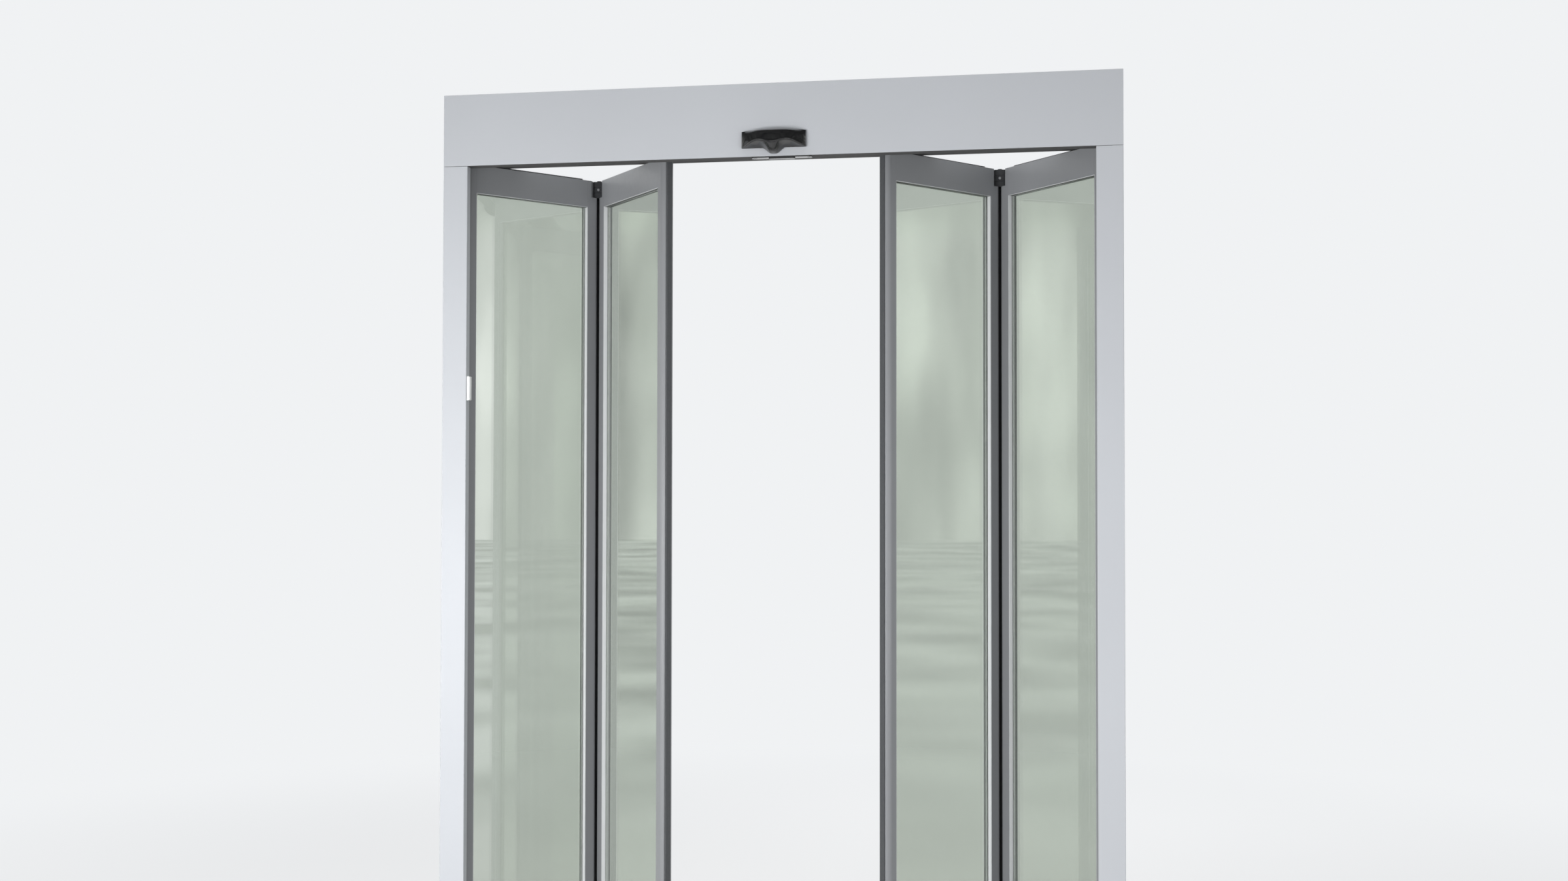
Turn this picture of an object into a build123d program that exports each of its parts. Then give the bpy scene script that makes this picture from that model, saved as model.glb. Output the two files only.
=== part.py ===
from build123d import *
import math
import os

# Four-leaf folding door, two leaves a side, held half open with its leaves folded inward.
# Millimetres. X runs across the door, Y into the building, Z up.
# The origin is the middle of the left post's foot, on the floor.

os.makedirs("parts", exist_ok=True)

# Opening
clear_width = 1700.0
clear_height = 2470.0
fold_angle = 50.5

# Covers of the frame, folded from sheet
jamb_face_width = 69.0
header_face_height = 197.0
cover_sheet = 3.0
bend_radius = 1.5
cover_joint = 0.6
jamb_return = 24.0
header_return = 37.0
header_lip = 46.0

# Posts and header beam
post_width = 24.0
post_depth = 92.0
post_wall = 3.0
post_corner = 2.0
foot_plate = 10.0
fixing_radius = 4.5
fixing_edge = 14.0
fixing_levels = (250.0, 900.0, 1550.0, 2200.0)
beam_depth = 170.0
beam_wall = 4.0
beam_rise = 22.0
seat_gap = 0.3

# Guide track, rollers and bearings
track_width = 30.0
track_height = 20.0
track_wall = 3.0
track_slot = 13.0
roller_radius = 10.5
roller_height = 10.0
roller_edge = 1.5
roller_lift = 1.0
guide_pin_radius = 5.0
guide_collar_radius = 8.0
guide_collar_height = 2.0
bearing_length = 40.0
bearing_corner = 4.0
bearing_boss_radius = 9.0
bearing_boss_height = 3.0
pivot_pin_radius = 5.0
pin_reach = 14.0
floor_plate_height = 6.0

# Leaves
leaf_thickness = 36.0
stile_width = 35.0
rail_height = 78.0
rail_edge = 1.0
leaf_top_rise = 14.0
floor_gap = 10.0
pivot_inset = 20.0
pivot_depth = 60.0
hinge_gap = 5.0
hinge_front_radius = 6.0
hinge_back_radius = 4.0

# Glass and its gaskets
glass_thickness = 12.0
glass_bite = 10.0
pocket_depth = 11.0
gasket_width = 3.0
gasket_bite = 9.0
gasket_lip = 1.2
gasket_setback = 1.0

# Rubber nose in a keyed slot of the lead edge
nose_proud = 2.5
nose_width = 16.0
nose_bed = 2.5
nose_corner = 1.8
key_neck_width = 6.0
key_neck_depth = 2.5
key_head_width = 10.0
key_head_depth = 3.0
meeting_gap = 1.0

# Hinges and finger guards
hinge_width = 31.0
hinge_depth = 28.0
hinge_height = 48.0
hinge_proud = 2.0
hinge_front_corner = 1.5
hinge_back_corner = 8.0
knuckle_count = 3
knuckle_gap = 0.5
hinge_pin_radius = 4.0
hinge_pin_setback = 9.0
pin_head_radius = 6.5
pin_head_height = 2.0
guard_radius = 33.0
guard_wall = 4.0

# Brushes and heel seals
brush_root_width = 8.0
brush_root_depth = 4.0
brush_pile_width = 4.5
brush_inset = 10.0
top_brush_reach = 6.0
floor_clearance = 1.0
heel_seal_width = 9.0
heel_seal_base = 1.4

# Motion sensor on the header's face
sensor_offset = 6.5
sensor_width = 173.0
sensor_height = 44.0
sensor_arch = 8.0
sensor_rise = 22.0
sensor_base = 6.0
sensor_depth = 46.0
visor_width = 96.0
visor_height = 7.0
visor_arch = 2.0
visor_rise = 13.0
visor_edge = 2.5
beak_width = 66.0
beak_drop = 16.0
beak_tip_width = 26.0
beak_tip_drop = 5.0
beak_tip_rise = 11.0
beak_tip_depth = 42.0
beak_root = 8.0

# Presence sensor under the header
presence_offset = 25.0
presence_length = 164.0
presence_width = 24.0
presence_plate = 2.0
lens_length = 72.0
lens_width = 15.0
lens_height = 2.5

# Switch on the left jamb's inner return
switch_height = 66.0
switch_width = 17.0
switch_depth = 9.0
switch_drop = 579.0
switch_corner = 4.0

# Levels
header_top = clear_height + header_face_height
beam_bottom = clear_height + beam_rise
beam_top = header_top - cover_sheet - seat_gap
shelf_bottom = beam_bottom + track_height + seat_gap
leaf_top = clear_height + leaf_top_rise
leaf_bottom = floor_gap
leaf_height = leaf_top - leaf_bottom
leaf_middle = (leaf_top + leaf_bottom) / 2

# Places across the door
half_overall = clear_width / 2 + jamb_face_width
mid_x = half_overall - cover_sheet - seat_gap - post_width / 2
left_edge = mid_x - half_overall
left_clear = mid_x - clear_width / 2
post_inner = post_width / 2
pivot_x = left_clear - pivot_inset

# Places from front to back
front_y = -(post_depth / 2 + cover_sheet + seat_gap)
post_front = -post_depth / 2
pivot_y = front_y + pivot_depth

# Leaf length: a closed pair reaches from its round heel to the middle of the door
half_thickness = leaf_thickness / 2
pair_span = mid_x - pivot_x + half_thickness
leaf_width = (pair_span - hinge_gap - nose_proud - meeting_gap / 2) / 2

# Along the pivot leaf, from its pivot axis
edge_flat = stile_width - half_thickness
hinge_stile_end = leaf_width - half_thickness
hinge_stile_start = hinge_stile_end - stile_width
hinge_reach = hinge_stile_end + hinge_gap / 2
rail_length = hinge_stile_start - edge_flat
rail_middle = (hinge_stile_start + edge_flat) / 2
pocket_width = glass_thickness + 2 * gasket_width

# The fold: the hinge axis lies in the front faces of both leaves
fold = math.radians(fold_angle)
leaf_direction = Vector(math.cos(fold), math.sin(fold), 0)
leaf_back = Vector(-math.sin(fold), math.cos(fold), 0)
pivot_axis = Vector(pivot_x, pivot_y, 0)
hinge_axis = pivot_axis + leaf_direction * hinge_reach - leaf_back * half_thickness

# Planes: the leaf in plan, its pane, and its top rail's section at the pivot stile
leaf_plan = Plane(origin=pivot_axis, x_dir=leaf_direction, z_dir=(0, 0, 1))
pane_plane = Plane(origin=pivot_axis, x_dir=leaf_direction, z_dir=-leaf_back)
rail_plane = Plane(
    origin=pivot_axis + leaf_direction * edge_flat + Vector(0, 0, leaf_top - rail_height),
    x_dir=leaf_back,
    z_dir=leaf_direction,
)

# Mirror planes: lead leaf from pivot leaf, right pair from left, bottom from top
fold_plane = Plane(origin=hinge_axis, x_dir=(0, 1, 0), z_dir=(1, 0, 0))
centre_plane = Plane(origin=(mid_x, 0, 0), x_dir=(0, 1, 0), z_dir=(1, 0, 0))
middle_plane = Plane(origin=(0, 0, leaf_middle))


def save(piece, name):
    piece.part.label = name
    export_step(piece.part, f"parts/{name}.step")


def mirrored(piece, plane):
    with BuildPart() as opposite:
        mirror(piece.part, about=plane)
    return opposite


def joined(first, second):
    with BuildPart() as both:
        add(first.part)
        add(second.part)
    return both


def save_left_and_right(piece, name):
    save(piece, f"left_{name}")
    save(mirrored(piece, centre_plane), f"right_{name}")


def save_as_pair(piece, name):
    save(joined(piece, mirrored(piece, centre_plane)), name)


# Header cover: a face with a top return, and a soffit that turns up behind
with BuildPart() as header_cover:
    cover_plane = Plane(origin=(left_edge, front_y, clear_height), x_dir=(0, 1, 0), z_dir=(1, 0, 0))
    with BuildSketch(cover_plane) as profile:
        with BuildLine():
            Polyline(
                (0, 0),
                (header_return, 0),
                (header_return, header_lip),
                (header_return - cover_sheet, header_lip),
                (header_return - cover_sheet, cover_sheet),
                (cover_sheet, cover_sheet),
                (cover_sheet, header_face_height - cover_sheet),
                (header_return, header_face_height - cover_sheet),
                (header_return, header_face_height),
                (0, header_face_height),
                close=True,
            )
        make_face()
        fillet(profile.vertices().group_by(Axis.X)[0], bend_radius)
        fillet(profile.vertices().group_by(Axis.Y)[0].sort_by(Axis.X)[-1], bend_radius)
    extrude(amount=2 * half_overall)
    # The soffit and its lip run between the posts only
    for end_x in (left_edge, left_edge + 2 * half_overall):
        with Locations((end_x, front_y + cover_sheet, clear_height)):
            Box(
                2 * (post_inner - left_edge + seat_gap),
                header_return,
                2 * (header_lip + seat_gap),
                align=(Align.CENTER, Align.MIN, Align.CENTER),
                mode=Mode.SUBTRACT,
            )
save(header_cover, "header_cover")

# Header beam: back wall, top flange, track shelf and bottom flange in one section
beam_start = beam_wall - post_inner
beam_height = beam_top - beam_bottom
flange_start = pivot_y + track_width / 2 + seat_gap - post_front
shelf_start = front_y + header_return + seat_gap - post_front
shelf_level = shelf_bottom - beam_bottom
with BuildPart() as header_beam:
    beam_plane = Plane(origin=(beam_start, post_front, beam_bottom), x_dir=(0, 1, 0), z_dir=(1, 0, 0))
    with BuildSketch(beam_plane):
        with BuildLine():
            Polyline(
                (flange_start, 0),
                (beam_depth, 0),
                (beam_depth, beam_height),
                (0, beam_height),
                (0, beam_height - beam_wall),
                (beam_depth - beam_wall, beam_height - beam_wall),
                (beam_depth - beam_wall, shelf_level + beam_wall),
                (shelf_start, shelf_level + beam_wall),
                (shelf_start, shelf_level),
                (beam_depth - beam_wall, shelf_level),
                (beam_depth - beam_wall, beam_wall),
                (flange_start, beam_wall),
                close=True,
            )
        make_face()
    extrude(amount=2 * (mid_x - beam_start))
save(header_beam, "header_beam")

# End caps of the header, standing on the posts
with BuildPart() as end_cap:
    with Locations((-post_inner, post_front, beam_bottom)):
        Box(beam_wall - seat_gap, beam_depth, beam_height, align=(Align.MIN, Align.MIN, Align.MIN))
save_as_pair(end_cap, "header_end_caps")

# Posts: flat tubes with a closed foot and screw holes to the wall
with BuildPart() as jamb_post:
    with BuildSketch():
        RectangleRounded(post_width, post_depth, post_corner)
    extrude(amount=beam_bottom - seat_gap)
    with BuildSketch(Plane.XY.offset(foot_plate)):
        Rectangle(post_width - 2 * post_wall, post_depth - 2 * post_wall)
    extrude(amount=beam_bottom, mode=Mode.SUBTRACT)
    with BuildSketch(Plane.YZ.offset(-post_width)):
        with Locations([(post_depth / 2 - fixing_edge, level) for level in fixing_levels]):
            Circle(fixing_radius)
    extrude(amount=2 * post_width, mode=Mode.SUBTRACT)
save_left_and_right(jamb_post, "jamb_post")

# Jamb covers: a face with an outer return at the wall and an inner return
with BuildPart() as jamb_cover:
    with BuildSketch(Plane(origin=(left_edge, front_y, 0))) as profile:
        with BuildLine():
            Polyline(
                (0, 0),
                (jamb_face_width, 0),
                (jamb_face_width, jamb_return),
                (jamb_face_width - cover_sheet, jamb_return),
                (jamb_face_width - cover_sheet, cover_sheet),
                (cover_sheet, cover_sheet),
                (cover_sheet, jamb_return),
                (0, jamb_return),
                close=True,
            )
        make_face()
        fillet(profile.vertices().group_by(Axis.Y)[0], bend_radius)
    extrude(amount=clear_height - cover_joint)
save_left_and_right(jamb_cover, "jamb_cover")

# Heel seals on the posts: a flat base with a round bead towards the heel
seal_reach = pivot_x - half_thickness - seat_gap - post_inner
seal_bottom = floor_plate_height + seat_gap
with BuildPart() as heel_seal:
    with BuildSketch(Plane(origin=(post_inner, pivot_y, seal_bottom))):
        with Locations((heel_seal_base / 2, 0)):
            Rectangle(heel_seal_base, heel_seal_width)
        with Locations((heel_seal_base, 0)):
            Circle(seal_reach - heel_seal_base)
        with Locations((-seal_reach / 2, 0)):
            Rectangle(seal_reach, heel_seal_width, mode=Mode.SUBTRACT)
    extrude(amount=beam_bottom - seat_gap - seal_bottom)
save_as_pair(heel_seal, "heel_seals")

# Guide track: a C rail between the top bearings, with its slot below
track_start = pivot_x + bearing_length / 2 + seat_gap
with BuildPart() as guide_track:
    track_plane = Plane(origin=(track_start, pivot_y, beam_bottom), x_dir=(0, 1, 0), z_dir=(1, 0, 0))
    with BuildSketch(track_plane):
        with Locations((0, track_height / 2)):
            Rectangle(track_width, track_height)
            Rectangle(track_width - 2 * track_wall, track_height - 2 * track_wall, mode=Mode.SUBTRACT)
        with Locations((0, track_wall / 2)):
            Rectangle(track_slot, track_wall, mode=Mode.SUBTRACT)
    extrude(amount=2 * (mid_x - track_start))
save(guide_track, "guide_track")

# Top bearings: a block under the track shelf, a boss and the pivot pin
with BuildPart() as top_bearing:
    with BuildSketch(Plane(origin=(pivot_x, pivot_y, beam_bottom))):
        RectangleRounded(bearing_length, track_width, bearing_corner)
    extrude(amount=track_height)
    with BuildSketch(Plane(origin=(pivot_x, pivot_y, beam_bottom - bearing_boss_height))):
        Circle(bearing_boss_radius)
    extrude(amount=bearing_boss_height)
    with BuildSketch(Plane(origin=(pivot_x, pivot_y, leaf_top - pin_reach))):
        Circle(pivot_pin_radius)
    extrude(amount=beam_bottom - leaf_top + pin_reach)
save_as_pair(top_bearing, "top_bearings")

# Floor bearings: a rounded plate, a boss and the pivot pin
with BuildPart() as floor_bearing:
    with BuildSketch(Plane(origin=(pivot_x, pivot_y, 0))):
        RectangleRounded(bearing_length, track_width, bearing_corner)
    extrude(amount=floor_plate_height)
    with BuildSketch(Plane(origin=(pivot_x, pivot_y, 0))):
        Circle(bearing_boss_radius)
    extrude(amount=leaf_bottom - seat_gap)
    with BuildSketch(Plane(origin=(pivot_x, pivot_y, 0))):
        Circle(pivot_pin_radius)
    extrude(amount=leaf_bottom + pin_reach)
save_as_pair(floor_bearing, "floor_bearings")

# Edge profile of pivot and lead stiles: half-round end on the axis, glazing pocket
with BuildSketch() as edge_profile:
    with BuildLine():
        Polyline(
            (0, -half_thickness),
            (edge_flat, -half_thickness),
            (edge_flat, half_thickness),
            (0, half_thickness),
        )
        ThreePointArc((0, half_thickness), (-half_thickness, 0), (0, -half_thickness))
    make_face()
    with Locations((edge_flat - pocket_depth / 2, 0)):
        Rectangle(pocket_depth, pocket_width, mode=Mode.SUBTRACT)

# Pivot stile, with bores for the pins of both bearings
pin_bore_depth = pin_reach + seat_gap
with BuildPart() as pivot_stile:
    with BuildSketch(leaf_plan.offset(leaf_bottom)):
        add(edge_profile.sketch)
    extrude(amount=leaf_height)
    for bore_start in (leaf_bottom, leaf_top - pin_bore_depth):
        with BuildSketch(leaf_plan.offset(bore_start)):
            Circle(pivot_pin_radius + seat_gap)
        extrude(amount=pin_bore_depth, mode=Mode.SUBTRACT)
save_left_and_right(pivot_stile, "pivot_stile")

# Lead stile, drawn on the pivot leaf and mirrored: nose bed, keyed slot and guide pin bore
neck_start = nose_bed - half_thickness
neck_end = neck_start + key_neck_depth
with BuildPart() as lead_stile_blank:
    with BuildSketch(leaf_plan.offset(leaf_bottom)):
        add(edge_profile.sketch)
        with Locations((neck_start - nose_bed / 2, 0)):
            Rectangle(nose_bed, leaf_thickness, mode=Mode.SUBTRACT)
        with Locations(((neck_start + neck_end) / 2, 0)):
            Rectangle(key_neck_depth, key_neck_width, mode=Mode.SUBTRACT)
        with Locations((neck_end + key_head_depth / 2, 0)):
            Rectangle(key_head_depth, key_head_width, mode=Mode.SUBTRACT)
    extrude(amount=leaf_height)
    with BuildSketch(leaf_plan.offset(leaf_top - pin_bore_depth)):
        Circle(guide_pin_radius + seat_gap)
    extrude(amount=pin_bore_depth, mode=Mode.SUBTRACT)
save_left_and_right(mirrored(lead_stile_blank, fold_plane), "lead_stile")

# Rubber nose, keyed into the lead edge
nose_length = nose_bed + nose_proud - seat_gap
with BuildPart() as nose_blank:
    with BuildSketch(leaf_plan.offset(leaf_bottom)) as profile:
        with Locations((neck_start - seat_gap - nose_length / 2, 0)):
            Rectangle(nose_length, nose_width)
        fillet(profile.vertices().group_by(Axis.X)[0], nose_corner)
        with Locations(((neck_start + neck_end) / 2, 0)):
            Rectangle(key_neck_depth + 2 * seat_gap, key_neck_width - 2 * seat_gap)
        with Locations((neck_end + key_head_depth / 2, 0)):
            Rectangle(key_head_depth - 2 * seat_gap, key_head_width - 2 * seat_gap)
    extrude(amount=leaf_height)
save_left_and_right(mirrored(nose_blank, fold_plane), "edge_rubber")

# Hinge profile: rounded nose at the fold, glazing pocket
with BuildSketch() as hinge_profile:
    with Locations(((hinge_stile_start + hinge_stile_end) / 2, 0)):
        Rectangle(stile_width, leaf_thickness)
    fillet(hinge_profile.vertices().group_by(Axis.X)[-1].sort_by(Axis.Y)[0], hinge_front_radius)
    fillet(hinge_profile.vertices().group_by(Axis.X)[-1].sort_by(Axis.Y)[-1], hinge_back_radius)
    with Locations((hinge_stile_start + pocket_depth / 2, 0)):
        Rectangle(pocket_depth, pocket_width, mode=Mode.SUBTRACT)

# Hinge stiles, notched through their front faces for the hinge blocks
notch_height = hinge_height + seat_gap
notch_depth = hinge_width + hinge_depth
with BuildPart() as hinge_stile:
    with BuildSketch(leaf_plan.offset(leaf_bottom)):
        add(hinge_profile.sketch)
    extrude(amount=leaf_height)
    for notch_bottom in (leaf_bottom, leaf_top - notch_height):
        with Locations((hinge_axis.X, hinge_axis.Y + hinge_depth - hinge_proud + seat_gap, notch_bottom)):
            Box(
                hinge_width + 2 * seat_gap,
                notch_depth,
                notch_height,
                align=(Align.CENTER, Align.MAX, Align.MIN),
                mode=Mode.SUBTRACT,
            )
save_left_and_right(hinge_stile, "pivot_hinge_stile")
save_left_and_right(mirrored(hinge_stile, fold_plane), "lead_hinge_stile")

# Rails: glazing pocket on the pane's side, brush groove outside; the bottom mirrors the top
with BuildPart() as top_rail:
    with BuildSketch(rail_plane) as profile:
        with Locations((0, rail_height / 2)):
            Rectangle(leaf_thickness, rail_height)
        fillet(profile.vertices(), rail_edge)
        with Locations((0, pocket_depth / 2)):
            Rectangle(pocket_width, pocket_depth, mode=Mode.SUBTRACT)
        with Locations((0, rail_height - brush_root_depth / 2)):
            Rectangle(brush_root_width + 2 * seat_gap, brush_root_depth, mode=Mode.SUBTRACT)
    extrude(amount=rail_length)
save_left_and_right(top_rail, "pivot_top_rail")
save_left_and_right(mirrored(top_rail, fold_plane), "lead_top_rail")
bottom_rail = mirrored(top_rail, middle_plane)
save_left_and_right(bottom_rail, "pivot_bottom_rail")
save_left_and_right(mirrored(bottom_rail, fold_plane), "lead_bottom_rail")

# Panes
sight_height = leaf_height - 2 * rail_height
with BuildPart() as pane:
    with BuildSketch(pane_plane.offset(-glass_thickness / 2)):
        with Locations((rail_middle, leaf_middle)):
            Rectangle(rail_length + 2 * glass_bite, sight_height + 2 * glass_bite)
    extrude(amount=glass_thickness)
save_left_and_right(pane, "pivot_glass")
save_left_and_right(mirrored(pane, fold_plane), "lead_glass")

# Glazing gaskets: frames on both sides of each pane, the front ones turned up along the leaf
gasket_turn = half_thickness - glass_thickness / 2 - gasket_width - gasket_setback
with BuildPart() as leaf_gaskets:
    for gasket_start in (glass_thickness / 2, -glass_thickness / 2 - gasket_width):
        with BuildSketch(pane_plane.offset(gasket_start)):
            with Locations((rail_middle, leaf_middle)):
                Rectangle(rail_length + 2 * gasket_bite, sight_height + 2 * gasket_bite)
                Rectangle(
                    rail_length - 2 * gasket_lip, sight_height - 2 * gasket_lip, mode=Mode.SUBTRACT
                )
        extrude(amount=gasket_width)
    with BuildSketch(pane_plane.offset(glass_thickness / 2 + gasket_width)):
        with Locations((rail_middle, leaf_middle)):
            Rectangle(rail_length, sight_height)
            Rectangle(rail_length - 2 * gasket_lip, sight_height - 2 * gasket_lip, mode=Mode.SUBTRACT)
    extrude(amount=gasket_turn)
save_left_and_right(joined(leaf_gaskets, mirrored(leaf_gaskets, fold_plane)), "glazing_gaskets")


def brushes(reach):
    # Brush strips in the top rails' grooves of a pair, standing out by the reach
    root_height = brush_root_depth - seat_gap
    with BuildPart() as strip:
        with BuildSketch(rail_plane.offset(brush_inset)):
            with Locations((0, rail_height - root_height / 2)):
                Rectangle(brush_root_width, root_height)
            with Locations((0, rail_height + reach / 2)):
                Rectangle(brush_pile_width, reach)
        extrude(amount=rail_length - 2 * brush_inset)
    return joined(strip, mirrored(strip, fold_plane))


save_as_pair(brushes(top_brush_reach), "top_brushes")
save_as_pair(mirrored(brushes(floor_gap - floor_clearance), middle_plane), "bottom_brushes")

# Hinges: knuckles on a headed pin, let into both hinge stiles
hinge_bottom = leaf_top - hinge_height
knuckle_height = (hinge_height - (knuckle_count - 1) * knuckle_gap) / knuckle_count
hinge_plan = Plane(origin=(hinge_axis.X, hinge_axis.Y - hinge_proud, hinge_bottom))
with BuildPart() as top_hinge:
    for knuckle in range(knuckle_count):
        with BuildSketch(hinge_plan.offset(knuckle * (knuckle_height + knuckle_gap))) as profile:
            with Locations((0, hinge_depth / 2)):
                Rectangle(hinge_width, hinge_depth)
            fillet(profile.vertices().group_by(Axis.Y)[0], hinge_front_corner)
            fillet(profile.vertices().group_by(Axis.Y)[-1], hinge_back_corner)
            with Locations((0, hinge_pin_setback)):
                Circle(hinge_pin_radius + seat_gap, mode=Mode.SUBTRACT)
        extrude(amount=knuckle_height)
    with BuildSketch(hinge_plan):
        with Locations((0, hinge_pin_setback)):
            Circle(hinge_pin_radius)
    extrude(amount=hinge_height + seat_gap)
    with BuildSketch(hinge_plan.offset(hinge_height + seat_gap)):
        with Locations((0, hinge_pin_setback)):
            Circle(pin_head_radius)
    extrude(amount=pin_head_height)
save_as_pair(top_hinge, "top_hinges")
save_as_pair(mirrored(top_hinge, middle_plane), "bottom_hinges")

# Finger guards: a rubber arc behind the hinges, between the ends of the hinge stiles
wedge_drop = (hinge_gap / 2 - seat_gap) / math.sin(fold)
wedge_side = 2 * guard_radius
with BuildPart() as finger_guard:
    with BuildSketch(Plane(origin=(hinge_axis.X, hinge_axis.Y, leaf_bottom))):
        with BuildLine():
            Polyline(
                (0, -wedge_drop),
                (wedge_side * math.sin(fold), wedge_side * math.cos(fold) - wedge_drop),
                (-wedge_side * math.sin(fold), wedge_side * math.cos(fold) - wedge_drop),
                close=True,
            )
        make_face()
        Circle(guard_radius, mode=Mode.INTERSECT)
        Circle(guard_radius - guard_wall, mode=Mode.SUBTRACT)
    extrude(amount=leaf_height)
save_left_and_right(finger_guard, "finger_guard")

# Guide rollers: a pin in the lead stile, a collar and a roller in the track
guide_plan = Plane(origin=(2 * hinge_axis.X - pivot_x, pivot_y, 0))
pin_foot = leaf_top - pin_reach
roller_bottom = beam_bottom + track_wall + roller_lift
with BuildPart() as guide_roller:
    with BuildSketch(guide_plan.offset(pin_foot)):
        Circle(guide_pin_radius)
    extrude(amount=roller_bottom - pin_foot)
    with BuildSketch(guide_plan.offset(leaf_top + seat_gap)):
        Circle(guide_collar_radius)
    extrude(amount=guide_collar_height)
    with BuildSketch(guide_plan.offset(roller_bottom)):
        Circle(roller_radius)
    extrude(amount=roller_height)
    roller_rims = guide_roller.edges().filter_by(GeomType.CIRCLE).sort_by(SortBy.RADIUS)[-2:]
    fillet(roller_rims, roller_edge)
save_as_pair(guide_roller, "guide_rollers")

# Motion sensor: an arched body that tapers forwards to its visor, with a beak below
sensor_plane = Plane(
    origin=(mid_x + sensor_offset, front_y, clear_height + sensor_rise), x_dir=(1, 0, 0), z_dir=(0, -1, 0)
)


def arched_bar(plane, width, height, arch):
    # A bar on a straight lower edge, with an arched upper edge
    with BuildSketch(plane) as bar:
        with BuildLine():
            Polyline((-width / 2, height), (-width / 2, 0), (width / 2, 0), (width / 2, height))
            ThreePointArc((width / 2, height), (0, height + arch), (-width / 2, height))
        make_face()
    return bar.sketch


def beak_outline(plane, width, drop):
    # A round tip below, flared by hollow curves to its full width above
    with BuildSketch(plane) as outline:
        with BuildLine():
            Polyline((width / 2, 0), (width / 2, beak_root), (-width / 2, beak_root), (-width / 2, 0))
            ThreePointArc((-width / 2, 0), (-0.33 * width, -0.15 * drop), (-width / 4, -drop / 2))
            ThreePointArc((-width / 4, -drop / 2), (0, -drop), (width / 4, -drop / 2))
            ThreePointArc((width / 4, -drop / 2), (0.33 * width, -0.15 * drop), (width / 2, 0))
        make_face()
    return outline.sketch


visor_plane = sensor_plane.offset(sensor_depth)
visor_plane.origin += Vector(0, 0, visor_rise)
tip_plane = sensor_plane.offset(beak_tip_depth)
tip_plane.origin += Vector(0, 0, beak_tip_rise)
sensor_base_face = arched_bar(sensor_plane, sensor_width, sensor_height, sensor_arch)
sensor_body_face = arched_bar(sensor_plane.offset(sensor_base), sensor_width, sensor_height, sensor_arch)
visor_face = arched_bar(visor_plane, visor_width, visor_height, visor_arch)
with BuildPart() as motion_sensor:
    extrude(sensor_base_face, amount=sensor_base)
    loft(sections=[sensor_body_face, visor_face])
    fillet(motion_sensor.faces().sort_by(Axis.Y)[0].edges(), visor_edge)
    loft(
        sections=[
            beak_outline(sensor_plane, beak_width, beak_drop),
            beak_outline(tip_plane, beak_tip_width, beak_tip_drop),
        ]
    )
save(motion_sensor, "motion_sensor")

# Presence sensor: a slim plate under the header with a raised lens
presence_plane = Plane(
    origin=(mid_x + presence_offset, front_y + header_return / 2, clear_height),
    x_dir=(1, 0, 0),
    z_dir=(0, 0, -1),
)
with BuildPart() as presence_sensor:
    with BuildSketch(presence_plane):
        SlotOverall(presence_length, presence_width)
    extrude(amount=presence_plate)
    with BuildSketch(presence_plane.offset(presence_plate)):
        SlotOverall(lens_length, lens_width)
    extrude(amount=lens_height)
save(presence_sensor, "presence_sensor")

# Switch on the left jamb's inner return
with BuildPart() as jamb_switch:
    with Locations((left_clear, front_y + jamb_return / 2, clear_height - switch_drop)):
        Box(switch_depth, switch_width, switch_height, align=(Align.MIN, Align.CENTER, Align.MAX))
    fillet(jamb_switch.faces().sort_by(Axis.X)[-1].edges(), switch_corner)
save(jamb_switch, "jamb_switch")
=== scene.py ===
import logging
import math
import random
from dataclasses import dataclass, field
from enum import Enum

import bmesh
import bpy
import numpy as np
from mathutils import Matrix, Vector


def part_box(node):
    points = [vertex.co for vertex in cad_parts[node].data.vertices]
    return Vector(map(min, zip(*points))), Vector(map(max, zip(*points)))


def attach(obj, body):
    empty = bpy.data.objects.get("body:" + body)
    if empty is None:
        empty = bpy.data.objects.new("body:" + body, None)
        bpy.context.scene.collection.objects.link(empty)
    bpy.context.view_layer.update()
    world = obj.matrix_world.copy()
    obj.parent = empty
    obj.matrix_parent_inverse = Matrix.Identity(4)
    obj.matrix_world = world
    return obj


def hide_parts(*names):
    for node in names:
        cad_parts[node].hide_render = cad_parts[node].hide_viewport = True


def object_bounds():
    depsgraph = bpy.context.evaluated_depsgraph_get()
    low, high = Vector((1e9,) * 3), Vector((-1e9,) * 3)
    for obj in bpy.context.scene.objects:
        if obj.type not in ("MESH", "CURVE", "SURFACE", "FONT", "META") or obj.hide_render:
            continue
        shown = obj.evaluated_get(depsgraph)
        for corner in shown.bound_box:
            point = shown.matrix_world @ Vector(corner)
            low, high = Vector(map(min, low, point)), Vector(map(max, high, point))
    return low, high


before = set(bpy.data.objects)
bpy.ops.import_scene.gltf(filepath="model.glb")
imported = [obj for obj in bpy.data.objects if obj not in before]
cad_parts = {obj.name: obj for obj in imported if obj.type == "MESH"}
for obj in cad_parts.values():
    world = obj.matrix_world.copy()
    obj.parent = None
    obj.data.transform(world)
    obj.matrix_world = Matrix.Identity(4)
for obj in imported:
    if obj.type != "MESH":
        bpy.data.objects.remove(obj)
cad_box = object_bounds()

LOG = logging.getLogger("folding_door")
MM = 0.001

Triple = tuple[float, float, float]
Colour = Triple
Span = tuple[float, float]
Mesh = bmesh.types.BMesh
Node = bpy.types.Node
Socket = bpy.types.NodeSocket
Sockets = bpy.types.bpy_prop_collection
Tree = bpy.types.NodeTree

UNIT: Span = (0.0, 1.0)
SETTLED_DUST: Colour = (0.30, 0.29, 0.27)


class Side(Enum):
    """The two leaf pairs of the door."""

    LEFT = "left"
    RIGHT = "right"


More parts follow.
